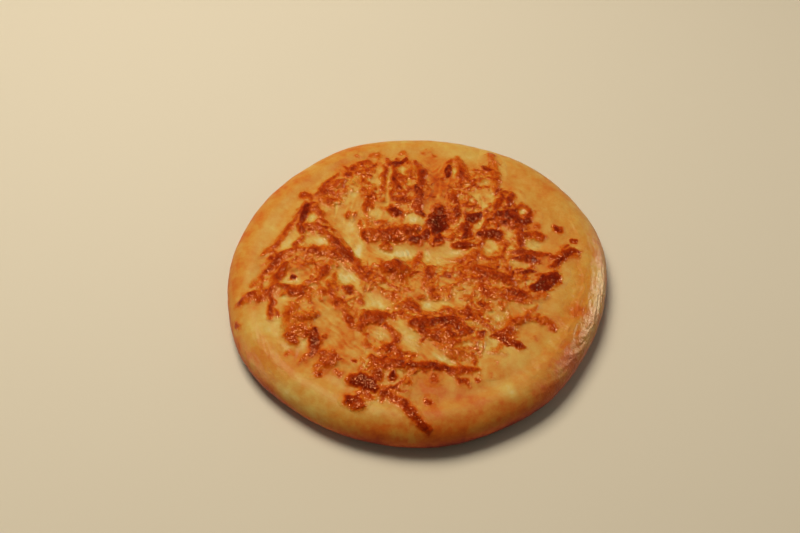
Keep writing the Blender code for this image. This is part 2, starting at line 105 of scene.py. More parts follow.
# Shreds, in mm: width, browning from 0 to 1, and the points along each
SHREDS = (
    (4, 0.55, ((-66, 82), (-72, 75), (-77, 66), (-81, 60))),
    (9, 0.60, ((-72, 68), (-66, 71), (-61, 75))),
    (8, 0.40, ((-80, 61), (-74, 63))),
    (6, 0.30, ((-78, 56), (-70, 55), (-63, 54))),
    (6, 0.85, ((-84, 50), (-87, 42), (-87, 33))),
    (6, 0.50, ((-80, 51), (-77, 45), (-73, 40))),
    (6, 0.65, ((-89, 31), (-85, 24))),
    (4.5, 0.47, ((-91, 40), (-95, 28), (-100, 17), (-104, 9), (-112, 1))),
    (8, 0.66, ((-83, 31), (-74, 28), (-67, 22), (-59, 15), (-52, 8), (-46, 2), (-40, -5))),
    (4.5, 0.60, ((-84, 21), (-88, 14), (-90, 8), (-96, 3.5), (-101, -2),
                 (-104, -9), (-108, -17), (-108, -28))),
    (10, 0.55, ((-78, 8), (-66, 7), (-58, 4))),
    (4, 0.75, ((-46, 38), (-43.5, 30), (-38, 20))),
    (9, 0.50, ((-55, 41), (-51, 43))),
    (7, 0.55, ((-47, 69), (-43, 61), (-42, 48))),
    (4, 0.68, ((-49, 78), (-40, 74))),
    (6, 0.50, ((-52, 84), (-46, 87), (-40, 89))),
    (5, 0.65, ((-31, 91), (-32, 81), (-31, 69))),
    (5, 0.75, ((-25, 96), (-23.5, 86), (-22, 79), (-19, 72))),
    (4.5, 0.78, ((-31, 100), (-28, 95))),
    (5, 1.00, ((-26, 96), (-20, 98), (-17, 103))),
    (7, 0.65, ((-9, 100), (-6, 93), (-3, 85), (-3, 77))),
    (8, 0.30, ((-12, 98), (-13, 86))),
    (7, 0.87, ((-8, 77), (-5, 70), (-5, 62), (-6, 56), (-1, 50))),
    (7, 0.65, ((-23, 63), (-13, 61))),
    (8, 0.95, ((-25, 50), (-21, 49.5), (-17, 49))),
    (5, 0.50, ((-34, 38), (-27, 39))),
    (12, 0.45, ((-40, 29), (-29, 27), (-16, 30), (-4, 36))),
    (8, 0.70, ((-27, 16), (-22, 16))),
    (6, 0.85, ((-8, 25), (1, 28), (3, 35))),
    (14, 0.90, ((9, 34), (11, 41), (14, 46))),
    (6, 0.75, ((11, 51), (13, 58))),
    (6, 0.85, ((13, 31), (10, 24))),
    (5, 0.95, ((16, 99), (14.5, 88))),
    (5, 0.38, ((15, 103), (20, 107), (24, 103), (26, 95), (28, 88))),
    (4, 0.10, ((25, 104), (28, 95))),
    (6, 0.40, ((22, 90), (28, 90), (31, 82))),
    (4, 0.45, ((34, 87), (42, 88))),
    (5, 0.85, ((41, 102.5), (49, 98.5))),
    (6, 0.45, ((46.5, 115), (50.5, 106), (52, 96), (51.5, 86), (52, 78))),
    (4, 0.60, ((44, 91), (52, 89))),
    (6, 0.80, ((64, 77), (62, 66))),
    (6, 0.60, ((56, 71), (52, 60))),
    (7, 0.77, ((20.5, 73), (21.5, 63))),
    (6, 0.75, ((24, 59), (24, 51))),
    (8, 0.90, ((32, 48), (37, 50), (41, 54))),
    (7, 0.95, ((41, 35), (48, 37), (56, 37))),
    (7, 0.80, ((31, 44), (33, 36), (30, 31))),
    (8, 0.85, ((23, 23), (28, 23), (34, 24))),
    (5, 0.85, ((53, 33), (57, 33))),
    (4.5, 0.60, ((66, 62), (70, 66), (75, 65), (77, 59), (75, 54), (68, 53))),
    (8, 0.85, ((54, 56), (62, 55), (70, 52), (76, 53))),
    (6, 0.50, ((58, 48), (68, 47))),
    (7, 0.56, ((73, 40), (80, 39), (88, 38))),
    (5, 0.80, ((71, 45), (71, 36), (71, 26))),
    (6, 0.70, ((64, 22), (76, 22), (88, 22))),
    (6, 0.95, ((66, 16), (74, 17), (84, 17))),
    (7, 0.72, ((92, 21), (101, 22), (106, 27), (112, 29))),
    (5, 0.80, ((101, 21), (97, 17), (94, 12))),
    (4, 0.85, ((71, 3), (76, 5), (82, 6.5))),
    (10.5, 1.15, ((81, -8), (88, -3), (96, 5))),
    (7, 0.95, ((102, 24), (107, 27), (112, 28.5))),
    (8, 0.58, ((-103, -31), (-110, -35), (-119, -41))),
    (3.5, 0.65, ((-101, -30), (-98, -40), (-97, -52))),
    (2.5, 0.60, ((-95, -44), (-92, -49))),
    (7, 0.70, ((-92, -5), (-96, -13), (-98, -22), (-100, -29))),
    (8, 0.66, ((-94, -25), (-87, -28), (-82, -30), (-78, -24), (-74, -19))),
    (6, 0.65, ((-62, -1), (-65, -8), (-68, -16), (-71, -20))),
    (7, 0.50, ((-67, -24), (-64, -34))),
    (8, 0.66, ((-61, -22), (-56, -31), (-50, -39), (-45, -46), (-42, -51))),
    (8, 0.80, ((-50, -23), (-46, -25))),
    (5, 0.57, ((-39, -27), (-37, -33))),
    (11, 0.50, ((-83, -40), (-84, -50), (-83, -63))),
    (10, 0.58, ((-80, -50), (-72, -48), (-68, -47))),
    (7, 0.75, ((-84, -64), (-78, -68))),
    (9, 0.42, ((-78, -58), (-70, -60))),
    (7, 0.85, ((-67, -58), (-65, -67), (-66, -78))),
    (4, 0.50, ((-69, -78), (-73, -84))),
    (7, 0.50, ((-60, -76), (-52, -77), (-53, -83), (-61, -87), (-62, -91))),
    (12, 0.90, ((-36, -93), (-30, -95), (-22, -98))),
    (9, 0.75, ((-38, -109), (-30, -113))),
    (5, 0.50, ((-34, -104), (-22, -106))),
    (7, 0.80, ((-17, -102), (-10, -105), (-2, -110), (4, -117), (9, -123), (15, -127))),
    (5, 0.85, ((-11, -86), (-11, -91))),
    (4, 0.60, ((-3, -90), (-8, -97))),
    (9, 0.60, ((-26, -77), (-22, -84), (-20, -91))),
    (7, 0.60, ((-27, -78), (-15, -79), (-5, -81))),
    (6, 0.85, ((-3, -80), (6, -79.5), (14, -79), (24, -79.5))),
    (6, 0.75, ((24, -81), (33, -80), (44, -78))),
    (5, 0.60, ((-19, -50), (-12, -58), (-13, -65), (-22, -69), (-30, -66), (-31, -58))),
    (5, 0.42, ((-12, -66), (-8, -72), (-8, -79))),
    (11, 0.60, ((-34, -44), (-24, -47))),
    (6, 0.42, ((-33, -43), (-25, -41), (-19, -43))),
    (6, 0.50, ((-43, -53), (-36, -53), (-31, -50))),
    (9, 0.68, ((-2, -47), (8, -46), (14, -43))),
    (8, 0.78, ((15, -42), (24, -42), (29, -47))),
    (8, 0.62, ((4, -53), (16, -54), (28, -53))),
    (5, 0.25, ((17, -35), (22, -32), (26, -37))),
    (8, 0.50, ((32, -35), (38, -33))),
    (7, 0.90, ((33, -51), (38, -49))),
    (7, 0.90, ((43, -54), (47, -49))),
    (6, 0.65, ((8, -54), (18, -57), (30, -58))),
    (5, 0.30, ((15, -62), (24, -66), (28, -72))),
    (4, 0.60, ((40, -66), (42, -74))),
    (5, 0.60, ((22, -60), (27, -66), (38, -68))),
    (5, 0.75, ((44, -26), (48, -26))),
    (4, 0.70, ((58, -21), (68, -20), (79, -21))),
    (6, 0.90, ((69, -17), (76, -13))),
    (8, 0.40, ((74, -15), (82, -15), (89, -12))),
    (6, 0.85, ((62, -11), (67, -14))),
    (5, 0.50, ((71, -38), (77, -31), (83, -23))),
    (7, 0.53, ((64, -41), (71, -36), (79, -33))),
    (6, 0.50, ((82, -33), (90, -35), (94, -40))),
    (8, 0.52, ((62, -47), (66, -43))),
    (6.5, 0.90, ((59, -52.5), (66, -54.5), (74, -57))),
    (2.5, 0.35, ((52, -63), (62, -64))),
    (20, 0.66, ((-20, -1), (-16, -1), (-11, -3))),
    (5, 0.52, ((0, 13), (-2, 5), (-4, 0))),
    (7, 0.75, ((7, 2), (8.5, -7))),
    (5, 0.80, ((18, -1), (21, -5))),
    (6, 0.50, ((9, -13), (10, -20), (15, -24))),
    (5, 0.55, ((1, -26), (5, -25))),
    (8, 0.56, ((-12, -33), (-3, -31), (3, -36))),
    (8, 0.40, ((38, 20), (37, 8))),
    (10, 0.60, ((40, 5), (55, 0), (65, -6))),
    (10, 0.60, ((45, -12), (60, -20))),
    (4, 0.60, ((46, 34), (42, 27), (43, 18), (49, 13), (58, 17), (60, 26))),
    (3.5, 0.50, ((60, 26), (58, 33), (51, 36), (46, 34))),
    (3, 0.45, ((-44, -6), (-36, -12), (-28, -18), (-21, -26))),
    (3, 0.55, ((-40, -2), (-30, -8), (-20, -15), (-12, -19))),
    (3, 0.40, ((-52, -2), (-42, -9), (-34, -17))),
)

# Round flecks of cheese, in mm: x, y, length, width, browning
FLECKS = (
    (-39.5, 104, 9, 8.5, 0.55), (-53, 102, 4, 4, 0.3), (-46, 95, 11, 7, 0.6), (-56, 88.5, 10, 7, 0.6),
    (-58.5, 81.5, 7, 5, 0.65), (-88.5, 58.5, 11, 9, 0.7), (-61, 61.5, 5, 5, 0.5), (-65.5, 55.5, 6, 5, 0.6),
    (0, 113.5, 6, 4, 0.2), (-20, 108.5, 4, 3, 0.1), (10.5, 84.5, 5, 5, 0.65), (82.5, 48.5, 3, 4, 0.2),
    (98.5, 47, 8, 6, 0.8), (109, 36.5, 6.5, 4.5, 1.1), (-119, -60, 4.5, 4.5, 0.7), (-47, -90, 4, 3.5, 0.35),
    (-38, -80.5, 3.5, 3.2, 0.85), (-81, -79, 4, 3, 0.3), (-59, -63.5, 4.5, 4, 0.75),
    (35, -88, 7, 4.5, 0.75), (44, -86.3, 5, 3.7, 0.75), (16, -88, 9, 7, 0.7), (13, -105, 5.5, 4, 0.7),
    (81.5, -49, 3, 3, 0.35), (-86.5, -17, 4, 4, 1.2), (54.5, 18, 5, 4, 0.4), (-3, -71, 3, 3, 0.4),
)

# Pale pools of cheese that stayed unbrowned, in mm: x, y, half length and width, heading in degrees, paleness
POOLS = (
    (-70, 17, 6, 4, 0, 1.0), (-94, 13, 9, 4, 60, 0.45), (-80, 37, 4, 3, 80, 0.6),
    (-47, -13, 9, 6, -25, 0.6), (-28, -32, 6, 8, 0, 0.65), (-87, -19, 6, 4, 0, 0.9),
    (-16, 11, 13, 5, 0, 1.25), (-50, -15, 7, 5, 0, 0.6), (5, 12, 3, 8, 0, 0.6), (14, 8, 7, 4.5, 0, 0.6),
    (26, 17, 11, 3, 0, 0.7), (64, 24, 2.5, 4, 0, 0.8), (8, -31, 6, 6, 0, 0.7), (44, 87, 6, 5, 0, 0.55),
    (41, 66, 11, 3, -62, 0.4), (63, 38, 3, 4, 0, 0.5), (41, 45, 5, 2.5, 60, 0.65),
    (20, 94, 2.5, 5, 0, 0.65), (-17, 92, 3, 6, 90, 0.7), (-35, 77, 3, 6, 0, 0.35), (-28, 87, 2, 7, 0, 0.4),
    (-14, 76, 3, 3, 0, 0.25), (-68, 47, 10, 4, 35, 0.35), (81, 30, 8.5, 4.5, 0, 0.45),
    (70, 10, 10, 3, 5, 0.2), (-7, 43.5, 5, 4, 0, 0.85), (-35, 46, 8, 5, 0, 0.5), (-44, 10, 9, 3, 90, 1.2),
    (-22, -58, 6, 5.5, 110, 0.6), (-3, -60, 13, 5, 141, 0.5), (21, -73, 10, 2.5, 148, 0.65),
    (-73, -70, 5, 3, 90, 0.8), (-24, -18, 6, 3, 0, 0.6), (73, 61, 5, 2.8, 35, 0.75),
    (57, -36, 4, 4, 0, 0.7), (38, -11, 4, 5, 0, 0.25), (-58, 38, 14, 4, 110, 0.4), (66, -94, 5, 5, 0, 0.5),
    (-50, 30, 7, 12, 0, 0.5), (50, 25, 7.5, 10, 0, 0.45), (18, -27, 9, 3.5, 15, 0.2),
)

# Blotches where the cheese browned all over, in mm: x, y, half length and width, heading in degrees, amount
BLOTCHES = (
    (-68, 66, 17, 7, 35, 0.75), (-50, 75, 12, 9, 30, 0.6), (-42, 88, 13, 8, 20, 0.25),
    (-57, 86, 12, 4, 35, 0.3), (-38, 62, 13, 10, 80, 0.8), (-21, 74, 17, 10, 90, 0.8),
    (-5, 75, 19, 8, 90, 0.9), (-12, 60, 14, 10, 0, 0.9), (-25, 97, 9, 5, 20, 1.0), (-20, 51, 10, 5, 0, 0.9),
    (19, 97, 11, 5, 80, 0.7), (32, 84, 15, 12, 0, 0.7), (49, 92, 22, 8, 95, 0.8), (22, 66, 14, 10, 90, 0.8),
    (40, 60, 14, 12, 0, 0.8), (60, 70, 11, 9, 60, 0.8), (69, 58, 12, 8, 0, 0.9), (50, 48, 15, 9, 0, 0.8),
    (12, 44, 12, 10, 60, 1.0), (-20, 30, 23, 10, 5, 0.7), (-37, 38, 11, 7, 100, 0.5),
    (33, 28, 18, 6, 0, 0.8), (12, 24, 7, 5, 0, 0.65), (-38, -20, 9, 4, -30, 0.6), (45, -36, 8, 6, 0, 0.2),
    (50, 38, 13, 6, 0, 0.8), (66, 38, 11, 8, 90, 0.9), (62, 22, 12, 11, 0, 1.0), (78, 19, 16, 5, 5, 0.9),
    (105, 26, 10, 5, 25, 0.8), (88, -2, 15, 7, 38, 0.9), (72, 5, 10, 4, 0, 0.35), (57, 3, 16, 10, 0, 0.85),
    (44, -11, 18, 12, 0, 0.95), (70, -15, 14, 7, 20, 0.7), (-21, -1, 13, 9, 0, 0.9), (-1, 3, 9, 6, 90, 0.8),
    (11, -4, 9, 9, 0, 0.8), (15, -19, 11, 10, -40, 0.8), (30, -5, 9, 7, 0, 0.6), (20, -43, 27, 10, 0, 0.95),
    (40, -52, 15, 9, 0, 0.8), (28, -62, 24, 9, -15, 0.75), (58, -51, 8, 4, 0, 0.35),
    (61, -40, 13, 7, 20, 0.15), (85, -34, 9, 3, -15, 0.45), (-86, 42, 13, 5.5, 80, 0.95),
    (-80, 32, 9, 8, 0, 0.8), (-60, 14, 27, 8, -45, 0.95), (-90, 2, 16, 7, 50, 0.8),
    (-74, 4, 18, 10, 0, 0.65), (-106, -12, 16, 3, 80, 0.7), (-96, -14, 12, 5, 80, 0.85),
    (-97, -28, 12, 5, 10, 0.8), (-113, -36, 9, 5, 30, 0.8), (-69, -18, 16, 5, 80, 0.7),
    (-52, -33, 21, 7, -52, 0.85), (-46, -27, 8, 5, -20, 0.7), (-77, -50, 12, 9, 80, 0.85),
    (-66, -68, 13, 5, 88, 0.8), (-59, -83, 10, 5, 60, 0.8), (-30, -44, 12, 7, 15, 0.6),
    (-14, -20, 14, 13, 0, 0.6), (-8, -38, 12, 8, 0, 0.55), (-24, -69, 9, 3, -10, 0.5),
    (-20, -80, 11, 8, 60, 0.75), (-29, -95, 9, 4, -15, 0.8), (-34, -110, 8, 4, 0, 0.6),
    (-12, -103, 9, 4, -28, 0.9), (10, -80, 36, 6, 0, 0.8), (-2, -92, 10, 6, 60, 0.2),
    (50, -4, 27, 14, 0, 0.9), (48, 12, 16, 8, 0, 0.8), (66, -12, 15, 8, 30, 0.85), (36, 10, 7, 5, 0, 0.25),
    (50, -25, 15, 6, 5, 0.9), (22, -52, 22, 7, 0, 0.8), (75, -17, 10, 3, 10, 0.8), (-80, -7, 18, 7, 0, 0.8),
    (-84, -27, 12, 5, 0, 0.8), (-66, -3, 16, 6, 0, 0.45), (-34, -12, 28, 6, -35, 0.95),
    (-80, -61, 6, 7, 0, 0.8), (-50, -24, 10, 5, 0, 0.6), (-15, 28, 26, 9, 0, 0.7),
    (-20, -4, 16, 9, 0, 0.85),
)

# Paler or browner places of the bare dough, in mm: x, y, half length and width, heading in degrees, change
# Painted light among them: partly painted shade on the front flank at (0, -127), painted highlights on the
# rims at (-86, -100) and, in part, (127, 8)
DOUGH_TONES_AND_LIGHT = (
    (0, 119, 30, 7, 0, -0.08), (8, 74, 10, 26, 0, 0.17), (-95, -58, 26, 9, -62, -0.10),
    (-111, 8, 16, 7, 80, -0.04), (62, -60, 20, 7, 10, -0.16), (100, -4, 20, 9, 80, -0.10),
    (-22, -117, 22, 6, 0, -0.06), (-62, -99, 20, 7, -35, -0.07), (50, 112, 16, 6, -20, -0.05),
    (-75, 88, 20, 7, 45, -0.01), (66, -94, 8, 6, 0, -0.08), (30, -112, 10, 6, 0, -0.06),
    (104, 45, 12, 8, 80, -0.04), (-119, 36, 28, 8, 75, 0.12), (-60, 109, 28, 7, 28, 0.07),
    (66, 95, 18, 9, -38, 0.01), (40, -104, 16, 8, 20, 0.09), (95, 70, 14, 9, -55, -0.03),
    (60, -78, 16, 9, 15, 0.04), (20, -103, 26, 8, 5, 0.08), (84, -70, 10, 6, 0, -0.09),
    (106, -60, 11, 7, 70, 0.12), (90, -89, 12, 6, 45, 0.22), (42, -115, 9, 6, 0, 0.11),
    (-102, -86, 32, 5, -50, 0.10), (111, -24, 9, 6, 80, 0.13), (-104, 78, 16, 8, 55, 0.06),
    (-126, -20, 40, 6, 95, 0.06), (-86, -100, 22, 5, -40, -0.08), (0, -127, 60, 7, 0, 0.12),
    (-52, -125, 20, 9, -22, -0.14), (60, -112, 30, 7, 30, 0.10), (10, -92, 10, 7, 0, 0.09),
    (-44, -60, 14, 14, 0, 0.16), (-46, -72, 9, 6, 0, 0.10), (127, 8, 32, 7, 88, -0.10),
    (-60, -72, 8, 10, 0, 0.04), (110, 8, 10, 9, 80, 0.08),
)

# Darker or paler parts of the browned cheese, in mm: x, y, half length and width, heading in degrees, change
SHADES = (
    (10, 43, 11, 16, 0, 0.22), (14, -46, 22, 9, 5, 0.12), (40, 62, 30, 26, 0, 0.05),
    (64, 55, 18, 6, 0, 0.10), (36, 50, 9, 6, 40, 0.12), (47, 36, 12, 5, 0, 0.12), (26, 24, 12, 5, 0, 0.10),
    (-86, 42, 5, 13, 0, 0.14), (-21, 50, 9, 5, 0, 0.16), (-20, 64, 14, 10, 0, 0.08),
    (-22, 29, 16, 7, 0, 0.06), (55, -6, 26, 12, 0, 0.06), (-86, -26, 13, 6, 0, 0.08),
    (-28, -46, 13, 7, 0, 0.10), (-66, -67, 7, 12, 0, 0.10), (-104, -8, 5, 12, 0, 0.10),
    (-54, 12, 20, 6, 128, 0.08), (-28, -95, 12, 7, 0, 0.10), (12, 96, 20, 10, 0, 0.04),
    (-24, 90, 6, 14, 0, 0.08), (-22, 42, 14, 5, 0, -0.10), (-62, 62, 16, 8, 35, -0.06),
    (-44, 86, 12, 8, 30, -0.06), (-68, -28, 6, 10, 0, -0.08), (30, -66, 16, 7, 0, -0.07),
    (78, 22, 12, 4, 0, -0.04), (-74, -50, 10, 12, 0, -0.03), (-36, 4, 8, 10, 0, -0.12),
)

# Lumpy fields, in layers of size in mm, weight and seed; weights that are heights or shifts are in mm
SWELLS = ((22, 0.45, 3), (9, 0.20, 4))
DOUGH_MOTTLE = ((22, 0.07, 11), (9, 0.08, 12), (4, 0.05, 13))
PORES = ((6, 0.15, 22),)
CRINKLE_BENDS = ((5, 0.7, 23),)
RAGGED_EDGE = ((14, 5, 41),)
SPECKLE = ((3, 0.05, 58),)
SHADE_DRIFT = ((14, 0.07, 56),)
SHRED_BENDS_X = ((4.5, 1.1, 31), (1.9, 0.3, 35))
SHRED_BENDS_Y = ((4.5, 1.1, 32), (1.9, 0.3, 36))
SHRED_GIRTH = ((3, 0.22, 33),)
SHRED_MOTTLE = ((5, 0.12, 34), (2, 0.05, 37))
BLOTCH_GRAIN = ((8, 0.30, 42), (3.5, 0.18, 43))
CRUMBS = ((2.2, 0.11, 47), (1.4, 0.077, 57))
BUBBLES = ((2.6, 1, 48), (1.6, 0.5, 49))

# Lumps across the random table before it repeats
LATTICE = 32

# Bare dough: its browning, what a pool takes off, what the flank adds, and the heights between which it does
DOUGH_BROWNING = 0.36
POOL_PALENESS = 0.24
# What the flank adds is partly baked crust and partly painted shade
FLANK_BROWNING_AND_SHADE = 0.36
FLANK_TOP = 20 * MM
FLANK_FOOT = 4 * MM

# Browning of the two hidden vertices, in the middle of the top and of the underside
HIDDEN_BROWNINGS = (0.4, 0.5)

# Crinkles of the buttered rim, faded in between two shares of the radius, with their width and length in mm
CRINKLE_SHARES = (0.73, 0.83)
CRINKLE_DEPTH = 0.28 * MM
CRINKLE_WIDTH = 2
CRINKLE_LENGTH = 5
CRINKLE_SHARPNESS = 2.5
CRINKLE_TEXTURE = 3
CRINKLE_SEED = 21

# Arcs of the rim that are crinkled: direction and half width in degrees, and strength
CRINKLE_ARCS = ((-8, 38, 1), (-141, 14, 0.5))

# Height above the foot over which pores and crinkles fade in
SMOOTH_FOOT = 3 * MM

# Meshes: the crust's rings are further apart where the cheese covers them, and the cheese is a square grid
BREAD_SECTORS = 600
TOP_STEP = 1.1 * MM
HIDDEN_RADIUS = 62 * MM
HIDDEN_STEP = 10 * MM
MIDDLE_RADIUS = 2 * MM
SHOULDER_RINGS = 36
FLANK_RINGS = 14
CHEESE_STEP = 0.7 * MM
CHEESE_HALF = 130 * MM
EVERYWHERE = (slice(None), slice(None))

# Melted sheet, in heights above the bread; BURIED is the height where there is no cheese
BURIED = -0.6 * MM
SHEET_THICKNESS = 1.5 * MM
SHEET_ROUNDING = 7 * MM
SHEET_SKIRT = 0.3
SHEET_BLEND = 0.3 * MM
SHEET_PALENESS = 0.03

# Where the sheet fades in, inwards from its edge, and where all cheese ends, as shares of the bread's radius
INSIDE_SPAN = (-2 * MM, 6 * MM)
RIM_SHARES = (0.975, 0.995)

# Fine strings in the sheet: heading in degrees and seed in front and at the back, and where they turn in y
STRINGS_IN_FRONT = (-38, 62)
STRINGS_AT_BACK = (84, 64)
STRINGS_TURN = (15 * MM, 45 * MM)
STRING_WIDTH = 1.5 * MM
STRING_STRETCH = 5
STRING_BEND = 4 * MM
STRING_BEND_LENGTH = 14 * MM
STRING_BROWNING = 0.08
STRINGS_ON_SHREDS = 0.08
STRING_HEIGHT = 0.18 * MM

# Browned blotches: their tone, what their middle and the net's ridges add, and where each fades in
BLOTCH_BROWNING = 0.38
MIDDLE_BROWNING = 0.12
NET_BROWNING = 0.25
GRAINY_SPAN = (0.02, 0.42)
PLAIN_SPAN = (0.05, 0.2)
MIDDLE_SPAN = (0.65, 1.0)
BLOTCH_HEIGHT = 0.3 * MM
NET_HEIGHT = 1.2 * MM

# Net of browned ridges: size and seed of its wide and its fine meshes, and how thin and bent the ridges are
WIDE_MESH = (10 * MM, 50)
FINE_MESH = (5 * MM, 53)
FINE_MESH_WEIGHT = 0.85
MESH_RIDGE = 0.3
MESH_BEND = 0.4
MESH_BEND_SIZE = 0.7

# Pale pools: what they take off a blotch, how soon they are full, and how far they fade the shreds on them
POOL_CLEARING = 1.4
POOL_FULLNESS = 1.6
POOL_FADING = 0.6

# Film of pale cheese that reaches a little past everything browned
FILM_HEIGHT = 0.25 * MM
FILM_SLOPE = 0.08
FILM_HAZE = 0.12
FILM_BLEND = 0.4 * MM

# Shreds and flecks: lift of their bed, and rise of their back as a share of their half width
SHRED_WIDENING = 1.1
SHRED_LIFT = 1.1 * MM
SHRED_RISE = 0.42
FLECK_LIFT = 0.4 * MM
FLECK_RISE = 0.25

# Random shreds: how many, and the spans of their lengths, bends and widths in mm and of their browning
RANDOM_SEED = 5
RANDOM_SHREDS = 260
RANDOM_LENGTHS = (5, 15)
RANDOM_BENDS = (-3, 3)
RANDOM_WIDTHS = (2, 4.2)
RANDOM_BROWNINGS = (0.1, 0.7)
RANDOM_SCATTER = 0.6
RANDOM_LIFT = 0.4 * MM
RANDOM_RISE = 0.35

# Shape of every shred: how far it thins towards its ends, its tallest, its bed outside the sheet and its foot
SHRED_THINNING = 0.45
TALLEST_HALF_WIDTH = 7 * MM
OUTER_BED = 0.45
SHRED_SKIRT = 0.5
SHRED_BLEND = 1.6 * MM

# Room round a shred in which it is worked out, as a multiple of its half width and beyond that, and its steps
SHRED_ROOM = 1.5
SHRED_MARGIN = 4 * MM
CURVE_STEP = 2 * MM

# Browning of every shred: of its edge, what its core adds, how wide that is, and how far the stain spreads
EDGE_BROWNING = 0.47
CORE_BROWNING = 0.40
CORE_END = 1.3
CORE_LEAST = 0.05
CORE_GROWTH = 0.45
STAIN_START = 0.7
STAIN_SPREAD = 3.1 * MM

# Finish: browning past DEEP_BROWN is eased, and bubbles and strings stand where the cheese is thick enough
DEEP_BROWN = 0.70
DEEP_SHARE = 0.5
BROWNED_SPAN = (0.40, 0.58)
BUBBLE_HEIGHT = 0.10 * MM
BROWN_BUBBLE_HEIGHT = 0.24 * MM
BUBBLED_HEIGHTS = (0.2 * MM, 0.7 * MM)
STRUNG_HEIGHTS = (0.1 * MM, 0.3 * MM)

# Texture of pale cheese and of pools, where browned cheese has 1, and the gain in browning that leads to it
PALE_TEXTURE = 0.25
POOL_TEXTURE = 0.8
TEXTURE_SPAN = (0.02, 0.14)

# Colours from pale to burnt, each with its browning
BROWNING = (
    (0.06, (0.65, 0.53, 0.21)),
    (0.22, (0.63, 0.38, 0.072)),
    (0.38, (0.60, 0.240, 0.026)),
    (0.52, (0.57, 0.112, 0.005)),
    (0.66, (0.42, 0.043, 0.001)),
    (0.80, (0.19, 0.010, 0.001)),
    (1.00, (0.04, 0.004, 0.001)),
)

# Looks of crust and cheese: roughness by texture, sheen and its tints by browning, mottling, finest relief
CRUST_LOOK = {
    "textures": (1, 4),
    "roughnesses": (0.52, 0.30),
    "specular": 0.25,
    "sheens": ((0.3, (1, 0.90, 0.70)), (0.6, (1, 0.84, 0.58))),
    "mottling": 0.3,
    "bump_size": 1.4 * MM,
    "bump_height": 0.10 * MM,
    "bump_detail": 3,
}
CHEESE_LOOK = {
    "textures": (0.25, 1),
    "roughnesses": (0.70, 0.15),
    "specular": 0.27,
    "sheens": ((0.34, (1, 0.93, 0.78)), (0.5, (1, 0.66, 0.36)), (0.75, (1, 0.46, 0.17))),
    "mottling": 0.34,
    "bump_size": 1.8 * MM,
    "bump_height": 0.85 * MM,
    "bump_detail": 1,
}

# What both looks share
MOTTLE_SIZE = 4 * MM
MOTTLE_DETAIL = 5
MOTTLE_ROUGHNESS = 0.65
SUBSURFACE_WEIGHT = 0.10
SUBSURFACE_RADIUS = (4 * MM, 1.5 * MM, 0.5 * MM)

# Floor, with half its side in metres, and light
FLOOR_HALF = 4
FLOOR_COLOUR = (0.70, 0.62, 0.46)
FLOOR_ROUGHNESS = 0.8
WARM = (1.0, 0.93, 0.83)
WARMER = (1.0, 0.86, 0.68)
WORLD_STRENGTH = 0.12


def lumps(points, size, seed):
    """Smooth random field from -1 to 1 over points, with lumps of about one size."""
    table = np.random.default_rng(seed).uniform(-1, 1, (LATTICE, LATTICE, LATTICE))
    scaled = points / size
    base = np.floor(scaled).astype(int)
    share = scaled - base
    share = share * share * (3 - 2 * share)
    total = np.zeros(points.shape[:-1])
    for corner in itertools.product((0, 1), repeat=3):
        weight = np.prod(np.where(corner, share, 1 - share), axis=-1)
        index = (base + corner) % LATTICE
        total += weight * table[index[..., 0], index[..., 1], index[..., 2]]
    return total


def layered(points, layers):
    """Sum of lumpy fields over points, from the size, the weight and the seed of each."""
    return sum(weight * lumps(points, size * MM, seed) for size, weight, seed in layers)


def flat(x, y):
    """Points of the plane."""
    return np.stack([x, y, np.zeros_like(x)], -1)


def web(points, size, seed):
    """Net of narrow ridges, 1 on their crests, with meshes about as wide as size."""
    bend_x = MESH_BEND * size * lumps(points, MESH_BEND_SIZE * size, seed + 1)
    bend_y = MESH_BEND * size * lumps(points, MESH_BEND_SIZE * size, seed + 2)
    bent = points + flat(bend_x, bend_y)
    return 1 - np.minimum(np.abs(lumps(bent, size, seed)) / MESH_RIDGE, 1)


def strings(x, y, heading, seed):
    """Fine strings that run about one way, as a value from -1 to 1."""
    turn = math.radians(heading)
    along = x * math.cos(turn) + y * math.sin(turn)
    across = y * math.cos(turn) - x * math.sin(turn)
    across = across + STRING_BEND * lumps(flat(x, y), STRING_BEND_LENGTH, seed + 1)
    return lumps(flat(along / STRING_STRETCH, across), STRING_WIDTH, seed)


def smoothstep(low, high, value):
    """Smooth rise from 0 at low to 1 at high."""
    share = np.clip((value - low) / (high - low), 0, 1)
    return share * share * (3 - 2 * share)


def outline_radius(angle):
    """Radius of the bread's widest line in one direction."""
    radius = MEAN_RADIUS
    for count, height, crest in OUTLINE_WAVES:
        radius = radius + height * MM * np.cos(count * (angle - math.radians(crest)))
    return radius


def outline_share(x, y):
    """Distance from the middle as a share of the outline's radius there."""
    return np.hypot(x, y) / outline_radius(np.arctan2(y, x))


def oval(x, y, middle_x, middle_y, half_length, half_width, heading):
    """How much of an oval feature is felt at a point, from 1 at its middle to 0 far away."""
    turn = math.radians(heading)
    dx = x - middle_x * MM
    dy = y - middle_y * MM
    along = (dx * math.cos(turn) + dy * math.sin(turn)) / (half_length * MM)
    across = (dy * math.cos(turn) - dx * math.sin(turn)) / (half_width * MM)
    return np.exp(-(along**2 + across**2))


def relief(x, y):
    """Rise of the bread's top above its nominal height: dish, rim groove, folds and blisters."""
    share = outline_share(x, y)
    inward = np.minimum(share / DISH_SHARE, 1)
    rise = -DISH_DEPTH * (1 + np.cos(math.pi * inward)) / 2
    facing = (1 + np.cos(np.arctan2(y, x) - GROOVE_DEEPEST)) / 2
    depth = GROOVE_DEPTH * (GROOVE_SHALLOWEST + (1 - GROOVE_SHALLOWEST) * facing)
    rise = rise - depth * np.exp(-(((share - GROOVE_SHARE) / GROOVE_WIDTH) ** 2))
    for *place, height in TOP_FEATURES:
        rise = rise + height * MM * oval(x, y, *place)
    return rise + MM * layered(flat(x, y), SWELLS)


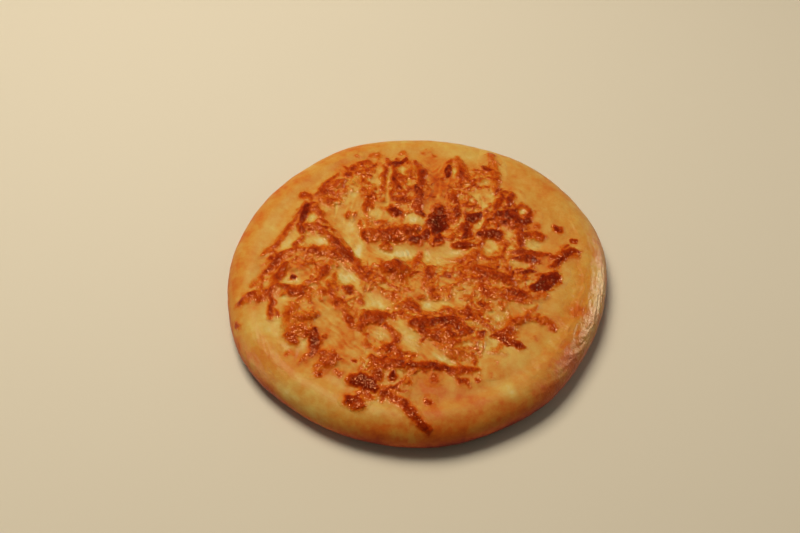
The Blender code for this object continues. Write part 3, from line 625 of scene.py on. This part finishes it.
def lifted(x, y, nominal):
    """Height of a point of the bread whose height on the plain turned shape is nominal."""
    upper = np.clip((nominal - WAIST_HEIGHT) / (TOP_HEIGHT - WAIST_HEIGHT), 0, 1)
    return nominal + upper * relief(x, y)


def surface_height(x, y):
    """Height of the bread's upper surface, from its middle out to its widest line."""
    past = np.clip((outline_share(x, y) - CREST_SHARE) / (1 - CREST_SHARE), 0, 1)
    nominal = WAIST_HEIGHT + (TOP_HEIGHT - WAIST_HEIGHT) * np.sqrt(1 - past**2)
    return lifted(x, y, nominal)


def sighted(x, y, lift):
    """Moves points that were read off on one level to where they are seen on the real surface."""
    share = (surface_height(x, y) + lift - READ_LEVEL) / (EYE[2] - READ_LEVEL)
    return x - (x - EYE[0]) * share, y - (y - EYE[1]) * share


def sighted_oval(x, y, middle_x, middle_y, *shape):
    """An oval feature of the cheese, read off like the shreds."""
    seen_x, seen_y = sighted(np.array(middle_x * MM), np.array(middle_y * MM), OVAL_LIFT)
    return oval(x, y, seen_x / MM, seen_y / MM, *shape)


def dough_tone_and_light(x, y, z):
    """Browning of bare dough, partly painted light and shade: golden, paler and yellower in places, darker
    down the flank.
    """
    tone = DOUGH_BROWNING + layered(np.stack([x, y, z], -1), DOUGH_MOTTLE)
    for *place, change in DOUGH_TONES_AND_LIGHT:
        tone = tone + change * oval(x, y, *place)
    for *place, pale in POOLS:
        tone = tone - POOL_PALENESS * pale * sighted_oval(x, y, *place)
    # Darker down the flank: partly baked crust, partly painted shade
    return tone + FLANK_BROWNING_AND_SHADE * smoothstep(FLANK_TOP, FLANK_FOOT, z)


def made_object(name, points, faces, attributes, material):
    """A smooth mesh object with values on its vertices."""
    data = bpy.data.meshes.new(name)
    data.from_pydata(points.tolist(), [], faces)
    for key, values in attributes.items():
        layer = data.attributes.new(key, "FLOAT", "POINT")
        layer.data.foreach_set("value", values.astype(np.float32))
    data.shade_smooth()
    data.materials.append(material)
    made = bpy.data.objects.new(name, data)
    bpy.context.scene.collection.objects.link(made)
    return made


def bread_rings():
    """Nominal radius and height of every ring of the bread, from the middle of its top to its foot."""
    crest = CREST_SHARE * MEAN_RADIUS
    foot = FOOT_SHARE * MEAN_RADIUS
    inner = list(np.arange(MIDDLE_RADIUS, HIDDEN_RADIUS, HIDDEN_STEP))
    outer = list(np.arange(HIDDEN_RADIUS, crest, TOP_STEP))
    rings = [(radius, TOP_HEIGHT) for radius in inner + outer]
    for ring in range(SHOULDER_RINGS):
        turn = math.pi / 2 * ring / SHOULDER_RINGS
        radius = crest + (MEAN_RADIUS - crest) * math.sin(turn)
        rings.append((radius, WAIST_HEIGHT + (TOP_HEIGHT - WAIST_HEIGHT) * math.cos(turn)))
    for ring in range(FLANK_RINGS + 1):
        turn = math.pi / 2 * ring / FLANK_RINGS
        rings.append((foot + (MEAN_RADIUS - foot) * math.cos(turn), WAIST_HEIGHT * (1 - math.sin(turn))))
    rings.append((foot / 2, 0))
    return np.array(rings)


def crinkled(x, y):
    """How crinkled the crust is, from 0 to 1."""
    bearing = np.degrees(np.arctan2(y, x))
    arcs = (strength * np.exp(-(((bearing - middle) / half) ** 2)) for middle, half, strength in CRINKLE_ARCS)
    return smoothstep(*CRINKLE_SHARES, outline_share(x, y)) * sum(arcs)


def outward_normals(points):
    """Unit normals of a grid of points, whose rows are rings."""
    along = np.roll(points, -1, 1) - np.roll(points, 1, 1)
    down = np.gradient(points, axis=0)
    normals = np.cross(down, along)
    return normals / np.linalg.norm(normals, axis=-1, keepdims=True)


def ring_faces(count):
    """Faces between rings, and fans from the last two vertices to the first and the last ring."""
    faces = []
    last = (count - 1) * BREAD_SECTORS
    top = count * BREAD_SECTORS
    foot = top + 1
    for start in range(0, last, BREAD_SECTORS):
        below = start + BREAD_SECTORS
        for sector in range(BREAD_SECTORS):
            after = (sector + 1) % BREAD_SECTORS
            faces.append((start + sector, below + sector, below + after, start + after))
    for sector in range(BREAD_SECTORS):
        after = (sector + 1) % BREAD_SECTORS
        faces.append((top, sector, after))
        faces.append((foot, last + after, last + sector))
    return faces


def bread_piece(material):
    """The crust: rings round the middle, with pores all over and crinkles on the buttered rim."""
    rings = bread_rings()
    angles = np.linspace(-math.pi, math.pi, BREAD_SECTORS, endpoint=False)
    radius = rings[:, :1] * outline_radius(angles)[None] / MEAN_RADIUS
    x = radius * np.cos(angles)
    y = radius * np.sin(angles)
    nominal = np.repeat(rings[:, 1:], BREAD_SECTORS, 1)
    points = np.stack([x, y, lifted(x, y, nominal)], -1)

    crinkles = crinkled(x, y)
    outward = np.cumsum(np.linalg.norm(np.diff(points, axis=0, prepend=points[:1]), axis=-1), 0)
    around = radius * angles / CRINKLE_LENGTH + MM * layered(points, CRINKLE_BENDS)
    creases = 1 - CRINKLE_SHARPNESS * np.abs(lumps(flat(outward / CRINKLE_WIDTH, around), MM, CRINKLE_SEED))
    shift = MM * layered(points, PORES) + CRINKLE_DEPTH * crinkles * creases
    shift = shift * smoothstep(0, SMOOTH_FOOT, nominal)
    points = points + outward_normals(points) * shift[..., None]

    top = (0, 0, lifted(np.zeros(1), np.zeros(1), np.full(1, TOP_HEIGHT))[0])
    vertices = np.concatenate([points.reshape(-1, 3), [top, (0, 0, 0)]])
    # This browning holds painted light as well: partly painted shade on the flank, painted highlights on two
    # rims
    tones = dough_tone_and_light(points[..., 0], points[..., 1], points[..., 2])
    values = {
        "browning": np.concatenate([tones.ravel(), HIDDEN_BROWNINGS]),
        "texture": np.concatenate([1 + CRINKLE_TEXTURE * crinkles.ravel(), [1, 1]]),
    }
    return made_object("bread_crust", vertices, ring_faces(len(rings)), values, material)


def curved(points):
    """Points of a smooth curve through a few given ones."""
    ends = np.concatenate([2 * points[:1] - points[1:2], points, 2 * points[-1:] - points[-2:-1]])
    out = []
    for a, b, c, d in zip(ends, ends[1:], ends[2:], ends[3:]):
        steps = max(int(np.linalg.norm(c - b) / CURVE_STEP), 1)
        for step in range(steps):
            t = step / steps
            bend = (2 * a - 5 * b + 4 * c - d) * t**2 + (3 * b - a - 3 * c + d) * t**3
            out.append((2 * b + (c - a) * t + bend) / 2)
    out.append(points[-1])
    return np.array(out)


def path_distance(x, y, points):
    """Distance of each grid point to a path, and how far along the path its nearest point is."""
    best = np.full(x.shape, np.inf)
    share = np.zeros(x.shape)
    lengths = np.linalg.norm(np.diff(points, axis=0), axis=1)
    done = 0
    for start, end, length in zip(points, points[1:], lengths):
        step = end - start
        part = np.clip(((x - start[0]) * step[0] + (y - start[1]) * step[1]) / length**2, 0, 1)
        distance = np.hypot(x - start[0] - part * step[0], y - start[1] - part * step[1])
        nearer = distance < best
        best = np.where(nearer, distance, best)
        share = np.where(nearer, (done + part * length) / lengths.sum(), share)
        done += length
    return best, share


def reach_at(angle):
    """Radius of the melted cheese's edge."""
    count = len(CHEESE_REACH)
    place = (angle / (2 * math.pi / count)) % count
    before = np.floor(place).astype(int)
    share = (1 - np.cos(math.pi * (place - before))) / 2
    reaches = np.array(CHEESE_REACH) * MM
    return reaches[before % count] * (1 - share) + reaches[(before + 1) % count] * share


class CheeseField:
    """Height of the cheese above the bread and its browning, on a square grid."""

    def __init__(self):
        axis = np.arange(-CHEESE_HALF, CHEESE_HALF, CHEESE_STEP)
        self.x, self.y = np.meshgrid(axis, axis, indexing="ij")
        self.points = flat(self.x, self.y)
        self.height = np.full(self.x.shape, BURIED)
        self.film = np.full(self.x.shape, BURIED)
        reach = reach_at(np.arctan2(self.y, self.x)) + MM * layered(self.points, RAGGED_EDGE)
        self.edge = reach - np.hypot(self.x, self.y)
        self.inside = smoothstep(*INSIDE_SPAN, self.edge)
        self.rim = smoothstep(*RIM_SHARES, outline_share(self.x, self.y))
        front = strings(self.x, self.y, *STRINGS_IN_FRONT)
        back = strings(self.x, self.y, *STRINGS_AT_BACK)
        self.strings = self.inside * (front + (back - front) * smoothstep(*STRINGS_TURN, self.y))
        tone = dough_tone_and_light(self.x, self.y, surface_height(self.x, self.y))
        speckle = layered(self.points, SPECKLE) - SHEET_PALENESS
        self.plain = tone + speckle * self.inside + STRING_BROWNING * self.strings
        self.brown = self.plain.copy()
        self.shade = layered(self.points, SHADE_DRIFT)
        for *place, change in SHADES:
            self.shade += change * sighted_oval(self.x, self.y, *place)
        self.pool = np.zeros(self.x.shape)
        for *place, pale in POOLS:
            fullness = min(POOL_FULLNESS * pale, 1)
            self.pool = np.maximum(self.pool, fullness * sighted_oval(self.x, self.y, *place))

    def window(self, low, high):
        """Slices of the grid that hold a box."""
        first = np.maximum(((low + CHEESE_HALF) / CHEESE_STEP).astype(int), 0)
        last = ((high + CHEESE_HALF) / CHEESE_STEP).astype(int) + 2
        return slice(first[0], last[0]), slice(first[1], last[1])

    def merge(self, place, height, blend):
        """Joins a height into the field with a rounded seam."""
        old = self.height[place]
        share = np.clip((1 + (height - old) / blend) / 2, 0, 1)
        self.height[place] = old * (1 - share) + height * share + blend * share * (1 - share)

    def stain(self, place, tone, weight):
        """Browns a place towards a tone, never paler than it already is."""
        plain = self.plain[place]
        shaded = tone + self.shade[place]
        self.brown[place] = np.maximum(self.brown[place], plain + (shaded - plain) * weight)

    def lay_sheet(self):
        """The melted sheet, rounded down to its edge."""
        inner = SHEET_THICKNESS * (1 - np.exp(-np.maximum(self.edge, 0) / SHEET_ROUNDING))
        self.merge(EVERYWHERE, np.where(self.edge > 0, inner, self.edge * SHEET_SKIRT), SHEET_BLEND)

    def bake_blotches(self):
        """Browns the blotches as a net of ridges with crumbs, and lays a film of pale cheese round them."""
        haze = np.zeros(self.x.shape)
        for *place, amount in BLOTCHES:
            haze = np.maximum(haze, amount * sighted_oval(self.x, self.y, *place))
        for *place, pale in POOLS:
            haze = haze - POOL_CLEARING * pale * sighted_oval(self.x, self.y, *place)
        grainy = haze + layered(self.points, BLOTCH_GRAIN)
        mask = smoothstep(*GRAINY_SPAN, grainy) * smoothstep(*PLAIN_SPAN, haze)
        net = np.maximum(web(self.points, *WIDE_MESH), FINE_MESH_WEIGHT * web(self.points, *FINE_MESH))
        tone = BLOTCH_BROWNING + MIDDLE_BROWNING * smoothstep(*MIDDLE_SPAN, haze)
        tone = tone + NET_BROWNING * net**1.3 + layered(self.points, CRUMBS)
        self.stain(EVERYWHERE, tone, mask)
        self.film = BURIED + (FILM_HEIGHT - BURIED) * smoothstep(0, FILM_HAZE, haze)
        self.height += mask * (BLOTCH_HEIGHT + NET_HEIGHT * net**1.5)

    def add_path(self, path, width, brown, lift, rise, thinning=SHRED_THINNING, sparing=0):
        """A shred along a path: round, lumpy, thinner towards its ends and, if sparing, over the pools."""
        read = np.array(path, float) * MM
        points = curved(np.stack(sighted(read[:, 0], read[:, 1], lift + PATH_LIFT), -1))
        half = width / 2 * MM
        reach = SHRED_ROOM * half + SHRED_MARGIN
        place = self.window(points.min(0) - reach, points.max(0) + reach)
        here = self.points[place]
        bent_x = self.x[place] + MM * layered(here, SHRED_BENDS_X)
        bent_y = self.y[place] + MM * layered(here, SHRED_BENDS_Y)
        distance, share = path_distance(bent_x, bent_y, points)
        taper = 1 - thinning * np.abs(2 * share - 1) ** 3
        local = half * taper * (1 + layered(here, SHRED_GIRTH))
        beyond = np.maximum(distance - local, 0)
        kept = 1 - sparing * self.pool[place]

        back = min(half, TALLEST_HALF_WIDTH) * rise * np.clip(1 - (distance / local) ** 3, 0, 1)
        bed = (OUTER_BED + (1 - OUTER_BED) * self.inside[place]) * kept
        self.merge(place, (lift + back) * bed - SHRED_SKIRT * beyond, SHRED_BLEND)
        self.film[place] = np.maximum(self.film[place], FILM_HEIGHT - FILM_SLOPE * beyond)

        core = smoothstep(CORE_END, CORE_LEAST + CORE_GROWTH * brown**2, distance / local)
        tone = EDGE_BROWNING + CORE_BROWNING * core * brown**1.5
        tone = tone + layered(here, SHRED_MOTTLE) + STRINGS_ON_SHREDS * self.strings[place]
        faded = (distance - STAIN_START * local) / ((1 - STAIN_START) * local + STAIN_SPREAD)
        self.stain(place, tone, kept * smoothstep(1, 0, faded))

    def scatter_shreds(self):
        """Short thin shreds at random over the blotches."""
        draw = np.random.default_rng(RANDOM_SEED)
        for _ in range(RANDOM_SHREDS):
            blotch = BLOTCHES[draw.integers(len(BLOTCHES))]
            angle = draw.uniform(0, math.pi)
            length = draw.uniform(*RANDOM_LENGTHS)
            bend = draw.uniform(*RANDOM_BENDS)
            along, across = draw.normal(0, RANDOM_SCATTER, 2) * blotch[2:4]
            turn = math.radians(blotch[4])
            middle = np.array(blotch[:2]) + along * np.array([math.cos(turn), math.sin(turn)])
            middle = middle + across * np.array([-math.sin(turn), math.cos(turn)])
            way = np.array([math.cos(angle), math.sin(angle)])
            side = np.array([-way[1], way[0]])
            path = (middle - way * length / 2, middle + side * bend, middle + way * length / 2)
            width = draw.uniform(*RANDOM_WIDTHS)
            self.add_path(path, width, draw.uniform(*RANDOM_BROWNINGS), RANDOM_LIFT, RANDOM_RISE, sparing=1)

    def add_shreds(self):
        """The shreds that can be told apart, cleared a little where a pool shows through them."""
        for width, brown, path in SHREDS:
            self.add_path(path, SHRED_WIDENING * width, brown, SHRED_LIFT, SHRED_RISE)
        self.brown = self.plain + (self.brown - self.plain) * (1 - POOL_FADING * self.pool**1.5)

    def add_flecks(self):
        """Round flecks, as short paths that aren't thinned."""
        for x, y, length, width, brown in FLECKS:
            half = max(length - width, 1) / 2
            self.add_path(((x - half, y), (x + half, y)), width, brown, FLECK_LIFT, FLECK_RISE, thinning=0)

    def finish(self):
        """Adds the film, ends the cheese at the rim, eases the darkest places, adds bubbles and strings."""
        self.merge(EVERYWHERE, self.film, FILM_BLEND)
        self.height = self.height * (1 - self.rim) + BURIED * self.rim
        self.brown = np.minimum(self.brown, DEEP_BROWN + (self.brown - DEEP_BROWN) * DEEP_SHARE)
        browned = smoothstep(*BROWNED_SPAN, self.brown)
        bubble_height = BUBBLE_HEIGHT + (BROWN_BUBBLE_HEIGHT - BUBBLE_HEIGHT) * browned
        thick = smoothstep(*BUBBLED_HEIGHTS, self.height)
        self.height += thick * bubble_height * layered(self.points, BUBBLES)
        self.height += smoothstep(*STRUNG_HEIGHTS, self.height) * STRING_HEIGHT * self.strings
        self.height = np.maximum(self.height, BURIED)

    def texture(self):
        """Gloss and depth of the finest relief: most on browned cheese, nearly as much on pools."""
        browned = smoothstep(*TEXTURE_SPAN, self.brown - self.plain)
        return np.maximum(PALE_TEXTURE + (1 - PALE_TEXTURE) * browned, POOL_TEXTURE * self.pool)


def cheese_piece(material):
    """The melted cheese: the cells of its grid that stand above the bread anywhere."""
    field = CheeseField()
    field.lay_sheet()
    field.bake_blotches()
    field.scatter_shreds()
    field.add_shreds()
    field.add_flecks()
    field.finish()
    shown = field.height > 0
    cells = shown[:-1, :-1] | shown[1:, :-1] | shown[:-1, 1:] | shown[1:, 1:]
    number = np.arange(shown.size).reshape(shown.shape)
    corners = (number[:-1, :-1], number[1:, :-1], number[1:, 1:], number[:-1, 1:])
    faces = np.stack([corner[cells] for corner in corners], -1)
    used, index = np.unique(faces, return_inverse=True)
    z = surface_height(field.x, field.y) + field.height
    vertices = np.stack([field.x, field.y, z], -1).reshape(-1, 3)[used]
    values = {"browning": field.brown.ravel()[used], "texture": field.texture().ravel()[used]}
    return made_object("melted_cheese", vertices, index.reshape(faces.shape).tolist(), values, material)


def added(tree, kind, values=None, **settings):
    """A new node with settings of its own and values on its inputs."""
    node = tree.nodes.new(kind)
    for key, setting in settings.items():
        setattr(node, key, setting)
    for key, value in (values or {}).items():
        node.inputs[key].default_value = value
    return node


def ramp_node(tree, stops):
    """A colour ramp through the given places and colours."""
    ramp = tree.nodes.new("ShaderNodeValToRGB")
    elements = ramp.color_ramp.elements
    elements.remove(elements[1])
    elements[0].position = stops[0][0]
    elements[0].color = (*stops[0][1], 1)
    for position, colour in stops[1:]:
        elements.new(position).color = (*colour, 1)
    return ramp


def food_material(
    name, textures, roughnesses, specular, sheens, mottling, bump_size, bump_height, bump_detail
):
    """Baked food, coloured by the browning on its vertices, with gloss and fine relief by their texture."""
    material = bpy.data.materials.new(name)
    material.use_nodes = True
    tree = material.node_tree
    link = tree.links.new
    shader = tree.nodes["Principled BSDF"]
    place = added(tree, "ShaderNodeTexCoord")
    # On the crust the browning also holds painted shade and painted highlights
    browning = added(tree, "ShaderNodeAttribute", attribute_name="browning")
    texture = added(tree, "ShaderNodeAttribute", attribute_name="texture")

    mottle_values = {"Scale": 1 / MOTTLE_SIZE, "Detail": MOTTLE_DETAIL, "Roughness": MOTTLE_ROUGHNESS}
    mottle = added(tree, "ShaderNodeTexNoise", mottle_values)
    link(place.outputs["Object"], mottle.inputs["Vector"])
    spread = added(tree, "ShaderNodeMath", {1: mottling, 2: -mottling / 2}, operation="MULTIPLY_ADD")
    link(mottle.outputs["Fac"], spread.inputs[0])
    total = added(tree, "ShaderNodeMath", operation="ADD")
    link(browning.outputs["Fac"], total.inputs[0])
    link(spread.outputs["Value"], total.inputs[1])
    colour = ramp_node(tree, BROWNING)
    link(total.outputs["Value"], colour.inputs["Fac"])
    link(colour.outputs["Color"], shader.inputs["Base Color"])
    tint = ramp_node(tree, sheens)
    link(total.outputs["Value"], tint.inputs["Fac"])
    link(tint.outputs["Color"], shader.inputs["Specular Tint"])

    gloss = added(tree, "ShaderNodeMapRange", {
        "From Min": textures[0],
        "From Max": textures[1],
        "To Min": roughnesses[0],
        "To Max": roughnesses[1],
    })
    link(texture.outputs["Fac"], gloss.inputs["Value"])
    link(gloss.outputs["Result"], shader.inputs["Roughness"])

    grain = added(tree, "ShaderNodeTexNoise", {"Scale": 1 / bump_size, "Detail": bump_detail})
    link(place.outputs["Object"], grain.inputs["Vector"])
    centred = added(tree, "ShaderNodeMath", {1: 0.5}, operation="SUBTRACT")
    link(grain.outputs["Fac"], centred.inputs[0])
    depth = added(tree, "ShaderNodeMath", operation="MULTIPLY")
    link(centred.outputs["Value"], depth.inputs[0])
    link(texture.outputs["Fac"], depth.inputs[1])
    bump = added(tree, "ShaderNodeBump", {"Distance": bump_height, "Strength": 1})
    link(depth.outputs["Value"], bump.inputs["Height"])
    link(bump.outputs["Normal"], shader.inputs["Normal"])

    shader.inputs["Specular IOR Level"].default_value = specular
    shader.inputs["Subsurface Weight"].default_value = SUBSURFACE_WEIGHT
    shader.inputs["Subsurface Radius"].default_value = SUBSURFACE_RADIUS
    shader.inputs["Subsurface Scale"].default_value = 1
    return material


def floor_material():
    """A plain pale floor's material."""
    material = bpy.data.materials.new("floor")
    material.use_nodes = True
    shader = material.node_tree.nodes["Principled BSDF"]
    shader.inputs["Base Color"].default_value = (*FLOOR_COLOUR, 1)
    shader.inputs["Roughness"].default_value = FLOOR_ROUGHNESS
    return material


def add_floor():
    """A plain floor, wide enough to fill the picture."""
    mesh = bmesh.new()
    bmesh.ops.create_grid(mesh, x_segments=1, y_segments=1, size=FLOOR_HALF)
    data = bpy.data.meshes.new("floor")
    mesh.to_mesh(data)
    mesh.free()
    data.materials.append(floor_material())
    floor = bpy.data.objects.new("floor", data)
    bpy.context.scene.collection.objects.link(floor)


def add_light(name, place, size, power, colour, lit=True, mirrored=True):
    """A square soft light that looks at the bread; it can be left out of the diffuse or the glossy light."""
    data = bpy.data.lights.new(name, "AREA")
    data.size = size
    data.energy = power
    data.color = colour
    light = bpy.data.objects.new(name, data)
    light.location = place
    light.rotation_euler = (-light.location).to_track_quat("-Z", "Y").to_euler()
    light.visible_diffuse = lit
    light.visible_glossy = mirrored
    bpy.context.scene.collection.objects.link(light)


def add_lights():
    """One soft light from behind lights everything; three more only show in the sheen and the glints."""
    add_light("key", (-0.42, 0.45, 1.3), size=0.7, power=19.5, colour=WARM, mirrored=False)
    add_light("left", (-1.05, -0.34, 0.22), size=0.45, power=5.5, colour=WARMER, lit=False)
    add_light("right", (1.12, 0.50, 0.36), size=0.6, power=20, colour=WARMER, lit=False)
    add_light("glints", (-0.25, 0.25, 1.3), size=0.25, power=15, colour=WARM, lit=False)
    world = bpy.data.worlds.new("studio")
    world.use_nodes = True
    background = world.node_tree.nodes["Background"]
    background.inputs["Color"].default_value = (*WARM, 1)
    background.inputs["Strength"].default_value = WORLD_STRENGTH
    bpy.context.scene.world = world


def add_camera():
    """A camera that looks down on the bread from the front."""
    data = bpy.data.cameras.new("camera")
    data.lens = LENS
    data.sensor_width = SENSOR
    camera = bpy.data.objects.new("camera", data)
    camera.location = EYE
    camera.rotation_euler = Euler([math.radians(angle) for angle in EYE_TURN])
    bpy.context.scene.collection.objects.link(camera)
    bpy.context.scene.camera = camera


add_camera()
add_lights()
add_floor()
crust = bread_piece(food_material("baked_dough", **CRUST_LOOK))
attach(crust, "root")
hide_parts("bread")
cheese = cheese_piece(food_material("browned_cheese", **CHEESE_LOOK))
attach(cheese, "root")
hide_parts("cheese_topping")
bpy.context.scene.view_settings.view_transform = "Standard"
